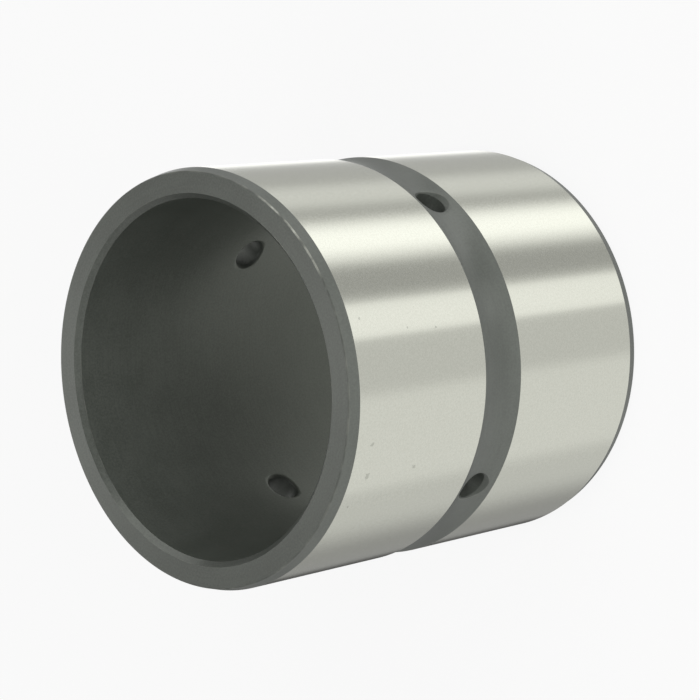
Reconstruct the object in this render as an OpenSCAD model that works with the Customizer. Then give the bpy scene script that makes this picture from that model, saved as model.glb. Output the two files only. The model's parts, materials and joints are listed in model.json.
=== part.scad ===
// Sleeve bearing: a steel pin bushing, turned, grooved, drilled and ground from one piece.
// It stands on one end. Its axis is +Z, and the origin is the centre of the lower end.

/* [Sleeve] */
// Diameter of the bore that the pin turns in
bore_d = 90; // [80:1:110]
// Thickness of the wall between the bore and the ground outside
wall = 7.5; // [6:0.5:12]
// Length from end to end
sleeve_l = 110; // [80:1:150]

/* [Ends] */
// Length along the axis of the lead-in taper at each end of the outside
lead_in_l = 3; // [2:0.5:5]
// Angle between the lead-in taper and the axis
lead_in_angle = 15; // [10:1:25]
// Radius of the corner between the lead-in taper and the end face
corner_r = 0.4; // [0.2:0.1:0.8]
// Width of the 45 degree chamfer at each mouth of the bore
bore_chamfer = 1.3; // [0.5:0.1:2]

/* [Grease groove] */
// Width of the groove round the middle of the outside
groove_w = 13.5; // [10:0.5:20]
// Depth of the groove at its middle
groove_depth = 1.2; // [0.6:0.1:2]

/* [Grease holes] */
// Number of holes, evenly spaced round the groove
hole_count = 4; // [2:1:8]
// Diameter of each hole
hole_d = 8; // [4:0.5:10]
// Width of the 45 degree chamfer at both mouths of each hole
mouth_chamfer = 0.5; // [0.2:0.1:1]

/* [Hidden] */
$fn = 96;

bore_r = bore_d / 2;
outer_r = bore_r + wall;
middle_z = sleeve_l / 2;
steel = [0.62, 0.62, 0.60];

// The lead-in taper would meet the end face at this radius if the corner were sharp
face_r = outer_r - lead_in_l * tan(lead_in_angle);
// Distance from that sharp corner to where its rounding starts on either side
corner_run = corner_r / tan((90 + lead_in_angle) / 2);
corner_centre_r = face_r - corner_run;

// The groove is an arc of this radius, as deep and as wide as stated
groove_arc_r = (pow(groove_w / 2, 2) + pow(groove_depth, 2)) / (2 * groove_depth);
groove_floor_r = outer_r - groove_depth;

hole_r = hole_d / 2;
mouth_r = hole_r + mouth_chamfer;
// Cutting shapes run past the surface that they cut by this much
cut_past = 2;

// Outline of the lower end as [radius, height], from the bore out to the ground outside
lower_end = [
    [bore_r, bore_chamfer],
    [bore_r + bore_chamfer, 0],
    [corner_centre_r, 0],
    [face_r + corner_run * sin(lead_in_angle), corner_run * cos(lead_in_angle)],
    [outer_r, lead_in_l]
];
upper_end = [for (i = [len(lower_end) - 1 : -1 : 0]) [lower_end[i].x, sleeve_l - lower_end[i].y]];

// Half of the lengthwise cut through the sleeve, to be turned about the axis
module wall_section() {
    difference() {
        union() {
            polygon(concat(lower_end, upper_end));
            for (height = [corner_r, sleeve_l - corner_r])
                translate([corner_centre_r, height]) circle(r = corner_r);
        }
        translate([groove_floor_r + groove_arc_r, middle_z]) circle(r = groove_arc_r);
    }
}

// One radial hole along +X, from the bore to the floor of the groove, chamfered at both mouths
module grease_hole() {
    rotate([0, 90, 0]) {
        translate([0, 0, bore_r - cut_past]) {
            cylinder(r = hole_r, h = wall + 2 * cut_past);
            cylinder(r1 = mouth_r + cut_past, r2 = hole_r, h = mouth_chamfer + cut_past);
        }
        translate([0, 0, groove_floor_r - mouth_chamfer])
            cylinder(r1 = hole_r, r2 = mouth_r + cut_past, h = mouth_chamfer + cut_past);
    }
}

module bearing_sleeve() {
    color(steel)
    difference() {
        rotate_extrude() wall_section();
        for (i = [0 : hole_count - 1])
            rotate([0, 0, i * 360 / hole_count])
                translate([0, 0, middle_z]) grease_hole();
    }
}

bearing_sleeve();
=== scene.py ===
import json
import math

import bmesh
import bpy
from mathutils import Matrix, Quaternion, Vector


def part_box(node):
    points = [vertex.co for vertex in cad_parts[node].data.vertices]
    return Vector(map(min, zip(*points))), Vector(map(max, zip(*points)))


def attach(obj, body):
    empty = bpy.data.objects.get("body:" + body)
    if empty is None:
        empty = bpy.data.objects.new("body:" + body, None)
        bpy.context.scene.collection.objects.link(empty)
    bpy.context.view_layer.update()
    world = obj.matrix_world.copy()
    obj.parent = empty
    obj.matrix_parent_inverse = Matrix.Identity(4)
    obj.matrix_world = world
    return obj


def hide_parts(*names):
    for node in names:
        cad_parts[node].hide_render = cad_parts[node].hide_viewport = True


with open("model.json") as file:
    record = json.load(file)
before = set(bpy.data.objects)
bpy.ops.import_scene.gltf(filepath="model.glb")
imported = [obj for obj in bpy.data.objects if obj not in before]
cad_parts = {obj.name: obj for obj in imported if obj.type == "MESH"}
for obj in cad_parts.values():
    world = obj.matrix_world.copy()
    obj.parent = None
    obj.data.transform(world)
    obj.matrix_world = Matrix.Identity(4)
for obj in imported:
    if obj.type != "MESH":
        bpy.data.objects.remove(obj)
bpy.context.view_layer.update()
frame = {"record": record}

NODE = "bearing_sleeve"
MM = 0.001

# Sizes, in millimetres. The frame gives the overall ones.
box_low, box_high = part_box(NODE)
mounts = {mount["name"]: mount for mount in frame["record"]["mounts"]}
BORE_R = mounts["bore"]["dims"]["r_mm"]
OUTER_R = mounts["outside"]["dims"]["r_mm"]
LENGTH = (box_high.z - box_low.z) / MM
MIDDLE = LENGTH / 2
LEAD_IN_L = (LENGTH - mounts["outside"]["dims"]["length_mm"]) / 2
LEAD_IN_ANGLE = math.radians(15)
BORE_CHAMFER = (LENGTH - mounts["bore"]["dims"]["length_mm"]) / 2
GROOVE_W = 13.5
GROOVE_DEPTH = 1.2
GROOVE_ARC_R = ((GROOVE_W / 2) ** 2 + GROOVE_DEPTH ** 2) / (2 * GROOVE_DEPTH)
GROOVE_FLOOR_R = OUTER_R - GROOVE_DEPTH
HOLE_COUNT = 4
HOLE_R = 4.0
MOUTH_CHAMFER = 0.5

# Roundings of the corners, in millimetres
FACE_ROUND = 0.4
CHAMFER_ROUND = 0.15
GROUND_ROUND = 0.08
MOUTH_ROUND = 0.08

# Fineness of the mesh
COLUMNS = 384            # faces round the sleeve
ROUND_STEPS = 4          # faces across a rounded corner
LAND_ROWS = 6            # faces along each ground band
WINDOW_CELLS = 16        # cells along each side of the window that a hole's faces fill
WINDOW_HALF = 6.3        # half of the window's height, in millimetres
WINDOW_RINGS = 3         # rings of faces between a window's border and its hole
WINDOW_SLACK = 0.01      # allowed when a row is matched with a window, in millimetres
MOUTH_STEPS = 30         # steps in which the edge of a hole's mouth is found

# Finishes, in the order of the sleeve's materials
GROUND, FACE, TURNED, BORE, HOLE, EDGE = range(6)


def rounded_outline(corners):
    """Closed outline through corners (radius, height, rounding, finish), each corner turned into an arc.

    Gives points (radius, height) and the finish of the strip that follows each of them.
    """
    points, finishes = [], []
    for i, (x, y, rounding, finish) in enumerate(corners):
        here = Vector((x, y))
        if rounding == 0:
            points.append(here)
            finishes.append(finish)
            continue
        before = (Vector(corners[i - 1][:2]) - here).normalized()
        after = (Vector(corners[(i + 1) % len(corners)][:2]) - here).normalized()
        half = before.angle(after) / 2
        centre = here + (before + after).normalized() * (rounding / math.sin(half))
        start = here + before * (rounding / math.tan(half)) - centre
        end = here + after * (rounding / math.tan(half)) - centre
        turn = start.angle(end)
        for step in range(ROUND_STEPS + 1):
            share = step / ROUND_STEPS
            arm = (math.sin((1 - share) * turn) * start + math.sin(share * turn) * end) / math.sin(turn)
            points.append(centre + arm)
            finishes.append(EDGE if step < ROUND_STEPS else finish)
    return points, finishes


def groove_radius(offset):
    """Radius of the groove's surface at a distance along the axis from the groove's middle."""
    return GROOVE_FLOOR_R + GROOVE_ARC_R - math.sqrt(GROOVE_ARC_R ** 2 - offset ** 2)


def bore_radius(offset):
    """Radius of the bore, the same at every distance from the middle."""
    return BORE_R


def window_rows():
    """Heights above the middle at which both walls have a row of points across the holes."""
    return [WINDOW_HALF * (2 * i / WINDOW_CELLS - 1) for i in range(WINDOW_CELLS + 1)]


def spaced(low, high, count):
    """The points that part a stretch into count equal lengths, without its ends."""
    return [low + (high - low) * i / count for i in range(1, count)]


def wall_outline():
    """Closed outline of the wall's lengthwise section, with the finish of each of its strips."""
    face_r = OUTER_R - LEAD_IN_L * math.tan(LEAD_IN_ANGLE)
    groove_low, groove_high = MIDDLE - GROOVE_W / 2, MIDDLE + GROOVE_W / 2
    low_land = spaced(LEAD_IN_L, groove_low, LAND_ROWS)
    high_land = spaced(groove_high, LENGTH - LEAD_IN_L, LAND_ROWS)
    rows = window_rows()
    bore_low = spaced(BORE_CHAMFER, MIDDLE - WINDOW_HALF, LAND_ROWS)
    corners = [
        (BORE_R, BORE_CHAMFER, CHAMFER_ROUND, FACE),
        (BORE_R + BORE_CHAMFER, 0, CHAMFER_ROUND, FACE),
        (face_r, 0, FACE_ROUND, TURNED),
        (OUTER_R, LEAD_IN_L, GROUND_ROUND, GROUND),
    ]
    corners += [(OUTER_R, z, 0, GROUND) for z in low_land]
    corners += [(OUTER_R, groove_low, GROUND_ROUND, TURNED)]
    corners += [(groove_radius(d), MIDDLE + d, 0, TURNED) for d in rows]
    corners += [(OUTER_R, groove_high, GROUND_ROUND, GROUND)]
    corners += [(OUTER_R, z, 0, GROUND) for z in high_land]
    corners += [
        (OUTER_R, LENGTH - LEAD_IN_L, GROUND_ROUND, TURNED),
        (face_r, LENGTH, FACE_ROUND, FACE),
        (BORE_R + BORE_CHAMFER, LENGTH, CHAMFER_ROUND, FACE),
        (BORE_R, LENGTH - BORE_CHAMFER, CHAMFER_ROUND, BORE),
    ]
    corners += [(BORE_R, LENGTH - z, 0, BORE) for z in bore_low]
    corners += [(BORE_R, MIDDLE - d, 0, BORE) for d in rows]
    corners += [(BORE_R, z, 0, BORE) for z in reversed(bore_low)]
    return rounded_outline(corners)


class SleeveMesh:
    """Collects the sleeve's points and faces. Points are kept by key, so that faces share them."""

    def __init__(self):
        self.points, self.index, self.faces, self.finishes = [], {}, [], []

    def point(self, key, place):
        if key not in self.index:
            self.index[key] = len(self.points)
            self.points.append(place * MM)
        return self.index[key]

    def face(self, corners, finish):
        self.faces.append(corners)
        self.finishes.append(finish)


def on_circle(radius, angle, height):
    return Vector((radius * math.cos(angle), radius * math.sin(angle), height))


def in_window(row_low, row_high, column, columns_half):
    """True if a cell of the wall's grid lies where a hole's own faces go."""
    if max(abs(row_low - MIDDLE), abs(row_high - MIDDLE)) > WINDOW_HALF + WINDOW_SLACK:
        return False
    pitch = COLUMNS // HOLE_COUNT
    place = (column + pitch // 2) % pitch - pitch // 2
    return -columns_half <= place < columns_half


def add_wall(mesh, outline, finishes):
    """Turns the outline round the axis, and leaves a square window at each mouth of each hole."""
    turn = math.tau / COLUMNS
    half = WINDOW_CELLS // 2
    for i, first in enumerate(outline):
        k = (i + 1) % len(outline)
        second = outline[k]
        for column in range(COLUMNS):
            if finishes[i] in (TURNED, BORE) and in_window(first.y, second.y, column, half):
                continue
            right = (column + 1) % COLUMNS
            mesh.face([
                mesh.point((i, column), on_circle(first.x, turn * column, first.y)),
                mesh.point((i, right), on_circle(first.x, turn * right, first.y)),
                mesh.point((k, right), on_circle(second.x, turn * right, second.y)),
                mesh.point((k, column), on_circle(second.x, turn * column, second.y)),
            ], finishes[i])


def window_border(outline, centre_column, radius_at):
    """The window's border as (key, column offset, height offset), from its lower right corner."""
    half = WINDOW_CELLS // 2
    rows = window_rows()
    steps = [(half, j) for j in range(-half, half)]
    steps += [(-j, half) for j in range(-half, half)]
    steps += [(-half, -j) for j in range(-half, half)]
    steps += [(j, -half) for j in range(-half, half)]
    border = []
    for across, up in steps:
        offset = rows[up + half]
        radius = radius_at(offset)
        row = min(
            range(len(outline)),
            key=lambda i: abs(outline[i].x - radius) + abs(outline[i].y - MIDDLE - offset),
        )
        border.append(((row, (centre_column + across) % COLUMNS), across * math.tau / COLUMNS, offset))
    return border


def mouth_point(direction, grow, radius_at, start, outward):
    """Where the 45 degree chamfer of a mouth, grown by some amount, meets the wall's surface.

    Gives the depth along the hole's axis and the distance from that axis.
    """
    reach = HOLE_R + MOUTH_CHAMFER + grow
    depth = start
    for _ in range(MOUTH_STEPS):
        surface = radius_at(reach * math.sin(direction))
        depth = math.sqrt(surface ** 2 - (reach * math.cos(direction)) ** 2)
        reach = HOLE_R + MOUTH_CHAMFER + grow + outward * (depth - start)
    return depth, reach


def add_hole(mesh, outline, number):
    """One radial hole with a chamfer at both mouths, and the faces that join it to both walls."""
    centre_column = number * COLUMNS // HOLE_COUNT
    angle = math.tau * number / HOLE_COUNT
    outer_border = window_border(outline, centre_column, groove_radius)
    inner_border = window_border(outline, centre_column, bore_radius)
    directions = [math.atan2(up, across * GROOVE_FLOOR_R) for _, across, up in outer_border]

    def loop_in_hole(depth_and_reach):
        places = []
        for direction in directions:
            depth, reach = depth_and_reach(direction)
            up = reach * math.sin(direction)
            places.append(Vector((depth, reach * math.cos(direction), MIDDLE + up)))
        return places

    def outer_mouth(grow, sink):
        def place(direction):
            depth, reach = mouth_point(direction, grow, groove_radius, GROOVE_FLOOR_R, 1)
            return depth - sink, reach - sink
        return loop_in_hole(place)

    def inner_mouth(grow, sink):
        def place(direction):
            depth, reach = mouth_point(direction, grow, bore_radius, BORE_R, -1)
            return depth + sink, reach - sink
        return loop_in_hole(place)

    def between(border, mouth, radius_at, share):
        places = []
        for (_, across, up), near in zip(border, mouth):
            turn = across + (math.atan2(near.y, near.x) - across) * share
            height = up + (near.z - MIDDLE - up) * share
            places.append(on_circle(radius_at(height), turn, MIDDLE + height))
        return places

    soft = MOUTH_ROUND
    outer_lip = outer_mouth(soft, 0)
    inner_lip = inner_mouth(soft, 0)
    top = GROOVE_FLOOR_R - MOUTH_CHAMFER
    bottom = BORE_R + MOUTH_CHAMFER
    loops = [between(outer_border, outer_lip, groove_radius, (i + 1) / (WINDOW_RINGS + 1))
             for i in range(WINDOW_RINGS)]
    loops += [outer_lip, outer_mouth(0, soft)]
    loops += [loop_in_hole(lambda direction: (top + soft, HOLE_R + soft))]
    for depth in (top - soft, (2 * top + bottom) / 3, (top + 2 * bottom) / 3, bottom + soft):
        loops += [loop_in_hole(lambda direction, depth=depth: (depth, HOLE_R))]
    loops += [loop_in_hole(lambda direction: (bottom - soft, HOLE_R + soft))]
    loops += [inner_mouth(0, soft), inner_lip]
    loops += [between(inner_border, inner_lip, bore_radius, 1 - (i + 1) / (WINDOW_RINGS + 1))
              for i in range(WINDOW_RINGS)]

    turn = Quaternion((0, 0, 1), angle)
    count = len(directions)
    rings = [[mesh.index[key] for key, _, _ in outer_border]]
    for j, loop in enumerate(loops):
        rings.append([mesh.point((number, j, i, "hole"), turn @ place) for i, place in enumerate(loop)])
    rings.append([mesh.index[key] for key, _, _ in inner_border])
    ring_finishes = [TURNED] * (WINDOW_RINGS + 1) + [EDGE] + [HOLE] * (len(loops) - 2 * WINDOW_RINGS - 3)
    ring_finishes += [EDGE] + [BORE] * (WINDOW_RINGS + 1)
    for j, finish in enumerate(ring_finishes):
        for i in range(count):
            k = (i + 1) % count
            mesh.face([rings[j][i], rings[j][k], rings[j + 1][k], rings[j + 1][i]], finish)


def make_sleeve(materials):
    outline, finishes = wall_outline()
    mesh = SleeveMesh()
    add_wall(mesh, outline, finishes)
    for number in range(HOLE_COUNT):
        add_hole(mesh, outline, number)
    data = bpy.data.meshes.new("sleeve")
    data.from_pydata(mesh.points, [], mesh.faces)
    for material in materials:
        data.materials.append(material)
    data.polygons.foreach_set("material_index", mesh.finishes)
    data.polygons.foreach_set("use_smooth", [True] * len(mesh.faces))
    shape = bmesh.new()
    shape.from_mesh(data)
    bmesh.ops.recalc_face_normals(shape, faces=shape.faces)
    shape.to_mesh(data)
    shape.free()
    sleeve = bpy.data.objects.new("sleeve", data)
    bpy.context.scene.collection.objects.link(sleeve)
    shading = sleeve.modifiers.new("even_shading", "WEIGHTED_NORMAL")
    shading.weight = 50
    shading.keep_sharp = False
    return sleeve


class Nodes:
    """Adds nodes to a node tree, with their inputs given as values or as other nodes' outputs."""

    def __init__(self, tree):
        self.tree = tree

    def add(self, kind, inputs=None, **settings):
        node = self.tree.nodes.new(kind)
        for name, value in settings.items():
            setattr(node, name, value)
        for name, value in (inputs or {}).items():
            if isinstance(value, bpy.types.NodeSocket):
                self.tree.links.new(value, node.inputs[name])
            else:
                node.inputs[name].default_value = value
        return node

    def math(self, operation, first, second=0.0, third=0.0):
        return self.add("ShaderNodeMath", {0: first, 1: second, 2: third}, operation=operation).outputs[0]

    def smooth_step(self, value, low, high, from_value=0.0, to_value=1.0):
        node = self.add("ShaderNodeMapRange", {
            "Value": value, "From Min": low, "From Max": high, "To Min": from_value, "To Max": to_value,
        }, interpolation_type="SMOOTHSTEP")
        return node.outputs["Result"]


def new_material(name):
    material = bpy.data.materials.new(name)
    material.use_nodes = True
    tree = material.node_tree
    tree.nodes.clear()
    return material, Nodes(tree)


NOISE_DETAIL = 2.0


def lathe_lines(nodes, along, across):
    """Noise drawn out round the axis, as a tool leaves it: along and across are its sizes in metres."""
    place = nodes.add("ShaderNodeTexCoord").outputs["Object"]
    xyz = nodes.add("ShaderNodeSeparateXYZ", {0: place}).outputs
    radius = nodes.math("SQRT", nodes.math("ADD", nodes.math("MULTIPLY", xyz[0], xyz[0]),
                                           nodes.math("MULTIPLY", xyz[1], xyz[1])))
    stretched = nodes.add("ShaderNodeVectorMath", {0: place, 1: (1 / along, 1 / along, 1 / across)},
                          operation="MULTIPLY").outputs[0]
    noise = nodes.add("ShaderNodeTexNoise", {
        "Vector": stretched, "W": nodes.math("MULTIPLY", radius, 1 / across),
        "Scale": 1.0, "Detail": NOISE_DETAIL,
    }, noise_dimensions="4D")
    return noise.outputs["Fac"]


def speckle(nodes, size, detail=NOISE_DETAIL):
    """Even noise of a size in metres."""
    place = nodes.add("ShaderNodeTexCoord").outputs["Object"]
    noise = nodes.add("ShaderNodeTexNoise", {"Vector": place, "Scale": 1 / size, "Detail": detail})
    return noise.outputs["Fac"]


def tinted(nodes, factor, dark, light):
    """Colour between two ends, by a factor."""
    if not isinstance(light, bpy.types.NodeSocket):
        light = (*light, 1)
    if not isinstance(dark, bpy.types.NodeSocket):
        dark = (*dark, 1)
    ramp = nodes.add("ShaderNodeMix", {"Factor": factor}, data_type="RGBA")
    for name, colour in (("A", dark), ("B", light)):
        socket = next(socket for socket in ramp.inputs if socket.name == name and socket.type == "RGBA")
        if isinstance(colour, bpy.types.NodeSocket):
            nodes.tree.links.new(colour, socket)
        else:
            socket.default_value = colour
    return next(socket for socket in ramp.outputs if socket.type == "RGBA")


HIGHLIGHT_TURN = 0.25    # turn of the highlights' stretch, against the direction round the axis


def metal_surface(nodes, colour, roughness, height, bump_mm, **settings):
    """The surface of a turned metal: its bump's height is in millimetres."""
    bump = nodes.add("ShaderNodeBump", {"Height": height, "Distance": bump_mm * MM, "Strength": 1.0})
    tangent = nodes.add("ShaderNodeTangent", direction_type="RADIAL", axis="Z")
    inputs = {
        "Base Color": colour, "Roughness": roughness,
        "Normal": bump.outputs[0], "Tangent": tangent.outputs[0],
        "Anisotropic Rotation": HIGHLIGHT_TURN,
    }
    inputs.update(settings)
    shader = nodes.add("ShaderNodeBsdfPrincipled", inputs)
    nodes.add("ShaderNodeOutputMaterial", {"Surface": shader.outputs[0]})


GRAIN_SIZE = 0.0005      # in metres, as are the finishes' other sizes where nothing else is said

STEEL_DARK = (0.728, 0.738, 0.649)
STEEL_LIGHT = (0.777, 0.787, 0.697)
MARK_COLOUR = (0.57, 0.58, 0.51)
STEEL_LINES = (0.010, 0.0004)        # length and width
STEEL_LINES_SHARE = 0.3              # of the bump, and the grain has the rest
STEEL_GRAIN_SHARE = 0.7
STEEL_GRAIN_SPAN = (0.3, 0.7)        # grain at which the steel is darkest and lightest
STEEL_BUMP = 0.0013                  # in millimetres
STEEL_ROUGHNESS = 0.13
STEEL_UNEVENNESS = 0.06              # roughness that the grain adds
STEEL_ANISOTROPY = 0.6
KNOCK_DEPTH = 4.0                    # against the bump's height
KNOCK_CORE = 0.5                     # share of its radius within which a knock is full
KNOCK_BITES = 0.0006                 # size of the bites out of a knock's rim
KNOCK_RAGGED = (2.0, -0.2)           # how the bites scale the distance from a knock's middle
# Small knocks on the ground bands: azimuth in degrees, height and radius in millimetres
MARKS = [
    (-77, 101, 0.6), (-68, 101.5, 0.5), (-77, 84.5, 0.5), (-39, 88, 0.3), (-40, 78, 0.3),
    (-35, 103.5, 0.3), (-86, 104, 0.3), (70, 30, 0.7), (76, 34, 0.3), (150, 88, 0.5),
    (-160, 20, 0.7), (-152, 26, 0.3),
]


def distance_from(nodes, azimuth, height):
    """Distance in metres from a place on the outside, at an azimuth and a height in millimetres."""
    place = nodes.add("ShaderNodeTexCoord").outputs["Object"]
    centre = on_circle(OUTER_R, azimuth, height) * MM
    distance = nodes.add("ShaderNodeVectorMath", {0: place, 1: centre}, operation="DISTANCE")
    return distance.outputs["Value"]


def knocks(nodes):
    """1 in the small knocks, 0 elsewhere, with ragged edges."""
    ragged = nodes.math("MULTIPLY_ADD", speckle(nodes, KNOCK_BITES), *KNOCK_RAGGED)
    found = 0.0
    for azimuth, height, radius in MARKS:
        away = distance_from(nodes, math.radians(azimuth), height)
        reach = nodes.math("MULTIPLY", away, ragged)
        knock = nodes.smooth_step(reach, radius * MM, KNOCK_CORE * radius * MM)
        found = nodes.math("MAXIMUM", knock, found)
    return found


def ground_steel():
    """Bright ground steel: a soft even grain, faint lines round the axis and a few small knocks."""
    material, nodes = new_material("ground_steel")
    lines = lathe_lines(nodes, *STEEL_LINES)
    grain = speckle(nodes, GRAIN_SIZE)
    raised = nodes.math("MULTIPLY", grain, STEEL_GRAIN_SHARE)
    height = nodes.math("MULTIPLY_ADD", lines, STEEL_LINES_SHARE, raised)
    struck = knocks(nodes)
    height = nodes.math("MULTIPLY_ADD", struck, -KNOCK_DEPTH, height)
    colour = tinted(nodes, nodes.smooth_step(grain, *STEEL_GRAIN_SPAN), STEEL_DARK, STEEL_LIGHT)
    colour = tinted(nodes, struck, colour, MARK_COLOUR)
    roughness = nodes.math("MULTIPLY_ADD", grain, STEEL_UNEVENNESS, STEEL_ROUGHNESS)
    metal_surface(nodes, colour, roughness, height, STEEL_BUMP,
                  Metallic=1.0, Anisotropic=STEEL_ANISOTROPY)
    return material


OXIDE_SHEEN = (0.97, 1.0, 0.93, 1)
OXIDE_LINES = (0.015, 0.0005)        # length and width
OXIDE_GRAIN_DETAIL = 3.0
PATCH_SIZE = 0.010
OXIDE_LINES_SHARE = 0.2              # of the mottle, with the next two
OXIDE_GRAIN_SHARE = 0.6
OXIDE_PATCH_SHARE = 0.2
OXIDE_MOTTLE_SPAN = (0.35, 0.65)     # mottle at which the oxide is darkest and lightest
OXIDE_UNEVENNESS = 0.3               # share of the roughness that the mottle adds
OXIDE_SMOOTHEST = 0.85               # share of the roughness that is always there
# Each finish's name, darkest and lightest colour, roughness, bump in millimetres, anisotropy and how
# strongly it mirrors, in the order of the sleeve's materials
OXIDES = [
    # The gap between the face oxide's and the turned oxide's colours is painted light and shade: lighter
    # on the lead-in tapers and groove, darker on the end faces and chamfers.
    ("face_oxide_painted_shade", (0.040, 0.044, 0.038), (0.070, 0.077, 0.067), 0.34, 0.0010, 0.8, 1.0),
    ("turned_oxide_painted_light", (0.060, 0.066, 0.058), (0.084, 0.092, 0.081), 0.33, 0.0008, 0.5, 1.0),
    ("bore_oxide", (0.054, 0.060, 0.052), (0.088, 0.095, 0.084), 0.33, 0.0006, 0.0, 1.0),
    # The hole oxide's darker colour is painted shade inside the holes.
    ("hole_oxide_painted_shade", (0.050, 0.055, 0.048), (0.065, 0.071, 0.063), 0.50, 0.0006, 0.0, 0.65),
]


def black_oxide(name, dark, light, roughness, bump_mm, anisotropic, mirror):
    """Blackened steel: dark grey with a fine mottle, over the lines that turning left."""
    material, nodes = new_material(name)
    lines = lathe_lines(nodes, *OXIDE_LINES)
    grain = speckle(nodes, GRAIN_SIZE, OXIDE_GRAIN_DETAIL)
    patches = speckle(nodes, PATCH_SIZE)
    mixed = nodes.math("MULTIPLY", grain, OXIDE_GRAIN_SHARE)
    mixed = nodes.math("MULTIPLY_ADD", lines, OXIDE_LINES_SHARE, mixed)
    mixed = nodes.math("MULTIPLY_ADD", patches, OXIDE_PATCH_SHARE, mixed)
    colour = tinted(nodes, nodes.smooth_step(mixed, *OXIDE_MOTTLE_SPAN), dark, light)
    uneven = nodes.math("MULTIPLY_ADD", mixed, OXIDE_UNEVENNESS * roughness, OXIDE_SMOOTHEST * roughness)
    metal_surface(nodes, colour, uneven, mixed, bump_mm, **{
        "Anisotropic": anisotropic, "Specular IOR Level": mirror, "Specular Tint": OXIDE_SHEEN,
    })
    return material


GLINT_AZIMUTH = math.radians(-6)   # where the painted glint of bare steel on the upper end's edge is strongest
GLINT_REACH = (0.008, 0.020)       # distances from there between which the painted glint falls off
GLINT_STEEL_SHARE = 0.60                  # share of bare steel painted there as a glint
RUBBED_LEAST = 0.10                 # and far from it, where the bare steel is wear
WEAR_AND_GLINT_PATCH = 0.004                # size of the patches of wear and painted glint
WEAR_AND_GLINT_DETAIL = 4.0
WEAR_AND_GLINT_SPAN = (0.35, 0.70)          # patches at which the wear and painted glint start and are full
EDGE_COLOUR = (0.056, 0.061, 0.054)
EDGE_ROUGHNESS = 0.36
EDGE_POLISH = 0.1                   # roughness that the wear and painted glint take off
EDGE_BUMP = 0.0005                  # in millimetres


def worn_and_glinting_edge():
    """A sharp edge on which the oxide is worn thin here and there, with a painted glint of bare steel
    round one place on the upper end's edge.
    """
    material, nodes = new_material("worn_and_glinting_edge")
    away = distance_from(nodes, GLINT_AZIMUTH, LENGTH)
    most = nodes.smooth_step(away, *GLINT_REACH, GLINT_STEEL_SHARE, RUBBED_LEAST)
    patches = speckle(nodes, WEAR_AND_GLINT_PATCH, WEAR_AND_GLINT_DETAIL)
    # Bare steel round one place on the upper end's edge is a painted glint; elsewhere it is wear.
    wear_and_glint = nodes.smooth_step(patches, *WEAR_AND_GLINT_SPAN, 0, most)
    colour = tinted(nodes, wear_and_glint, EDGE_COLOUR, STEEL_DARK)
    roughness = nodes.math("MULTIPLY_ADD", wear_and_glint, -EDGE_POLISH, EDGE_ROUGHNESS)
    metal_surface(nodes, colour, roughness, wear_and_glint, EDGE_BUMP, **{
        "Metallic": wear_and_glint, "Specular IOR Level": 1.0, "Specular Tint": OXIDE_SHEEN,
    })
    return material


# Camera: the photograph's viewing angle, fitted to the sleeve's edges. The photograph is rolled against
# the standing sleeve, so the sleeve's axis runs across the picture.
VIEW_AZIMUTH = math.radians(-45.07)
VIEW_ELEVATION = math.radians(46.09)
VIEW_ROLL = math.radians(-98.20)
VIEW_DISTANCE = 0.6268
VIEW_AIM = Vector((0.00178, 0.00134, 0.0547))
LENS_MM = 122.75
SENSOR_MM = 36
NEAREST_SEEN = 0.01


def direction_of(azimuth, elevation):
    level = math.cos(elevation)
    return Vector((level * math.cos(azimuth), level * math.sin(azimuth), math.sin(elevation)))


def make_camera():
    camera = bpy.data.objects.new("camera", bpy.data.cameras.new("camera"))
    bpy.context.scene.collection.objects.link(camera)
    towards = direction_of(VIEW_AZIMUTH, VIEW_ELEVATION)
    camera.location = VIEW_AIM + towards * VIEW_DISTANCE
    camera.rotation_mode = "QUATERNION"
    aimed = (-towards).to_track_quat("-Z", "Y")
    camera.rotation_quaternion = aimed @ Quaternion((0, 0, 1), VIEW_ROLL)
    camera.data.sensor_width = SENSOR_MM
    camera.data.lens = LENS_MM
    camera.data.clip_start = NEAREST_SEEN
    bpy.context.scene.camera = camera


# Light. FILL is what matt surfaces get from all round.
FILL = 0.32
# What the metal mirrors: a base level and panels, each with the azimuth of its middle, its half width and
# soft edge in degrees, and its added brightness. One set stands below the horizon, the second adds to it
# close to the horizon, and the third stands above.
STUDIO_BASE = 0.62
STUDIO_PANELS = [
    (-95, 24, 9, 0.15),
    (-25.5, 8.5, 3, 0.40),
    (-3, 6, 7, -0.22),
    (23.7, 4, 15, 0.68),
    (44, 2, 8, -0.18),
    (60, 5, 12, 0.13),
    (85, 10, 12, -0.14),
    (126, 14, 7, 0.75),
    (151, 5, 10, -0.26),
    (165, 21, 32, -0.30),
]
# The extra brightness just below the horizon is mirrored by the lead-in tapers
HORIZON_ADDED = 0.40
HORIZON_MOST = 1.06      # at this the ground steel stays just short of white
HORIZON_PANELS = [
    (-75, 25, 15, 0.25),
    (12, 14, 16, 1.00),
    (155, 12, 14, -0.42),
]
SKY_BASE = 0.20
SKY_PANELS = [
    (134.9, 7, 6, 1.25),
    (52, 22, 14, 1.15),
    (-110, 60, 25, 0.40),
]
# Heights of the direction looked in, from -1 straight down to 1, between which each part comes in
LOW_PANELS_IN = (-0.97, -0.82)
HORIZON_IN = (-0.45, -0.30)
CAP_IN = (-0.60, -0.40)
SKY_IN = (-0.05, 0.15)
NO_CAP = 3.0             # brighter than any panel below the horizon


def lit_panels(nodes, azimuth, base, panels):
    """Brightness of a wall of panels seen in an azimuth, in degrees."""
    level = base
    for middle, half, soft, added in panels:
        turned = nodes.math("WRAP", nodes.math("SUBTRACT", azimuth, middle), 180, -180)
        away = nodes.math("ABSOLUTE", turned)
        level = nodes.math("ADD", nodes.smooth_step(away, half, half + soft, added, 0), level)
    return level


def blend(nodes, factor, first, second):
    return nodes.add("ShaderNodeMix", {"Factor": factor, "A": first, "B": second}).outputs["Result"]


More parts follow.
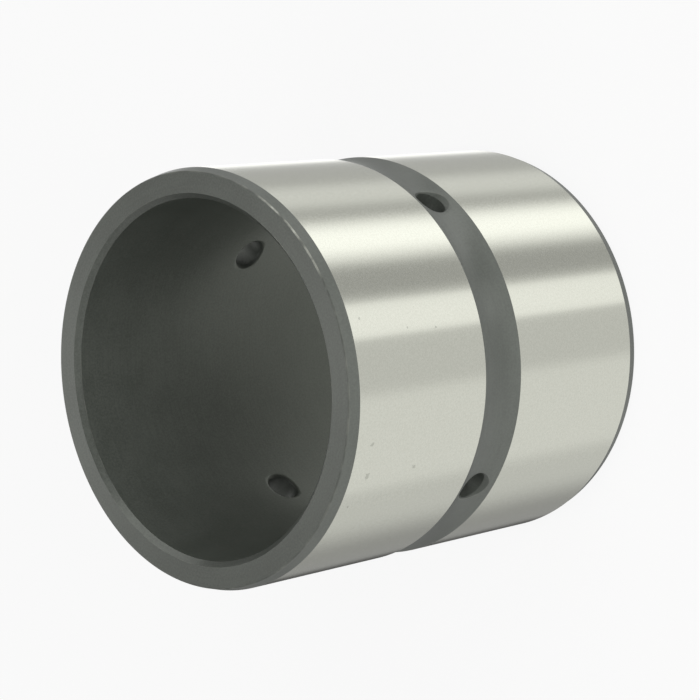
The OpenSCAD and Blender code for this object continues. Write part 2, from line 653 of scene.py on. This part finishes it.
def make_world():
    world = bpy.data.worlds.new("studio")
    bpy.context.scene.world = world
    world.use_nodes = True
    world.cycles.sampling_method = "NONE"
    tree = world.node_tree
    tree.nodes.clear()
    nodes = Nodes(tree)
    towards = nodes.add("ShaderNodeTexCoord").outputs["Generated"]
    xyz = nodes.add("ShaderNodeSeparateXYZ", {0: towards}).outputs
    azimuth = nodes.math("DEGREES", nodes.math("ARCTAN2", xyz[1], xyz[0]))
    low = lit_panels(nodes, azimuth, STUDIO_BASE, STUDIO_PANELS)
    low = blend(nodes, nodes.smooth_step(xyz[2], *LOW_PANELS_IN), STUDIO_BASE, low)
    horizon = lit_panels(nodes, azimuth, HORIZON_ADDED, HORIZON_PANELS)
    low = nodes.math("ADD", nodes.math("MULTIPLY", nodes.smooth_step(xyz[2], *HORIZON_IN), horizon), low)
    low = nodes.math("MINIMUM", nodes.smooth_step(xyz[2], *CAP_IN, NO_CAP, HORIZON_MOST), low)
    high = lit_panels(nodes, azimuth, SKY_BASE, SKY_PANELS)
    studio = blend(nodes, nodes.smooth_step(xyz[2], *SKY_IN), low, high)
    path = nodes.add("ShaderNodeLightPath").outputs
    mirrored = nodes.math("MAXIMUM", path["Is Glossy Ray"], path["Is Transmission Ray"])
    level = blend(nodes, mirrored, FILL, studio)
    level = blend(nodes, path["Is Camera Ray"], level, 1.0)
    background = nodes.add("ShaderNodeBackground", {"Color": (1, 1, 1, 1), "Strength": level})
    nodes.add("ShaderNodeOutputWorld", {"Surface": background.outputs[0]})


FLOOR_HALF = 3.0
FLOOR_COLOUR = (0.8, 0.8, 0.8, 1)
FLOOR_SHADOW = 0.12         # how much of the shadow shows
FLOOR_GAP = 0.00002         # keeps the floor off the sleeve's end face
BORE_GLOW = (0.22, 0.75)    # least and most brightness of the floor within the sleeve
GLOW_SPAN = (0.035, -0.018)     # where it has them, as distances from the axis
GLOW_AZIMUTH = math.radians(5)  # in which those distances are measured
GLOW_COLOUR = (0.97, 1.0, 0.93, 1)


def floor_material():
    """White floor: the camera sees it white with a faint shadow, and metal sees the studio through it.

    Within the sleeve it glows, more to one side, so that light comes in at both ends of the bore.
    """
    material, nodes = new_material("white_floor")
    white = nodes.add("ShaderNodeBsdfDiffuse", {"Color": FLOOR_COLOUR}).outputs[0]
    glow = nodes.add("ShaderNodeEmission", {"Strength": 1.0}).outputs[0]
    clear = nodes.add("ShaderNodeBsdfTransparent").outputs[0]
    path = nodes.add("ShaderNodeLightPath").outputs
    place = nodes.add("ShaderNodeTexCoord").outputs["Object"]
    across = nodes.add("ShaderNodeVectorMath", {0: place, 1: direction_of(GLOW_AZIMUTH, 0)},
                       operation="DOT_PRODUCT").outputs["Value"]
    level = nodes.smooth_step(across, *GLOW_SPAN, *BORE_GLOW)
    soft_glow = nodes.add("ShaderNodeEmission", {"Color": GLOW_COLOUR, "Strength": level}).outputs[0]
    from_axis = nodes.add("ShaderNodeVectorMath", {0: place}, operation="LENGTH").outputs["Value"]
    outside = nodes.math("GREATER_THAN", from_axis, (BORE_R + BORE_CHAMFER) * MM)
    below = nodes.add("ShaderNodeNewGeometry").outputs["Backfacing"]
    seen = nodes.math("MULTIPLY", path["Is Camera Ray"], 1 - FLOOR_SHADOW)
    direct = nodes.add("ShaderNodeMixShader", {0: seen, 1: white, 2: glow}).outputs[0]
    indirect = nodes.math("SUBTRACT", 1.0, nodes.math("MAXIMUM", path["Is Camera Ray"], outside))
    either = nodes.add("ShaderNodeMixShader", {0: indirect, 1: direct, 2: soft_glow}).outputs[0]
    mirrored = nodes.math("MAXIMUM", path["Is Glossy Ray"], path["Is Transmission Ray"])
    hidden = nodes.math("MAXIMUM", nodes.math("MULTIPLY", mirrored, outside), below)
    surface = nodes.add("ShaderNodeMixShader", {0: hidden, 1: either, 2: clear}).outputs[0]
    nodes.add("ShaderNodeOutputMaterial", {"Surface": surface})
    material.cycles.emission_sampling = "NONE"
    return material


def make_floor():
    data = bpy.data.meshes.new("floor")
    corners = [(-1, -1), (1, -1), (1, 1), (-1, 1)]
    data.from_pydata([(x * FLOOR_HALF, y * FLOOR_HALF, 0) for x, y in corners], [], [(0, 1, 2, 3)])
    data.materials.append(floor_material())
    floor = bpy.data.objects.new("floor", data)
    floor.location.z = -FLOOR_GAP
    bpy.context.scene.collection.objects.link(floor)


LAMP_DISTANCE = 3.0
# Each lamp's name, azimuth and elevation in degrees, size in metres and level
LAMPS = [
    ("key", 15, 35, 1.8, 0.29),
    ("side", -40, 20, 2.4, 0.58),
    ("overhead", -115, 62, 1.5, 0.21),
]


def make_lamp(name, azimuth, elevation, size, level):
    """Soft box aimed at the sleeve. A white surface that faces it renders at the given level."""
    data = bpy.data.lights.new(name, "AREA")
    data.shape = "SQUARE"
    data.size = size
    data.energy = level * (math.pi * LAMP_DISTANCE) ** 2
    lamp = bpy.data.objects.new(name, data)
    bpy.context.scene.collection.objects.link(lamp)
    towards = direction_of(math.radians(azimuth), math.radians(elevation))
    lamp.location = Vector((0, 0, MIDDLE * MM)) + towards * LAMP_DISTANCE
    lamp.rotation_mode = "QUATERNION"
    lamp.rotation_quaternion = (-towards).to_track_quat("-Z", "Y")
    lamp.visible_glossy = False
    lamp.visible_camera = False


bpy.context.scene.view_settings.view_transform = "Standard"
make_camera()
make_world()
make_floor()
for lamp in LAMPS:
    make_lamp(*lamp)

sleeve = make_sleeve([ground_steel(), *(black_oxide(*finish) for finish in OXIDES), worn_and_glinting_edge()])
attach(sleeve, "root")
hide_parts(NODE)
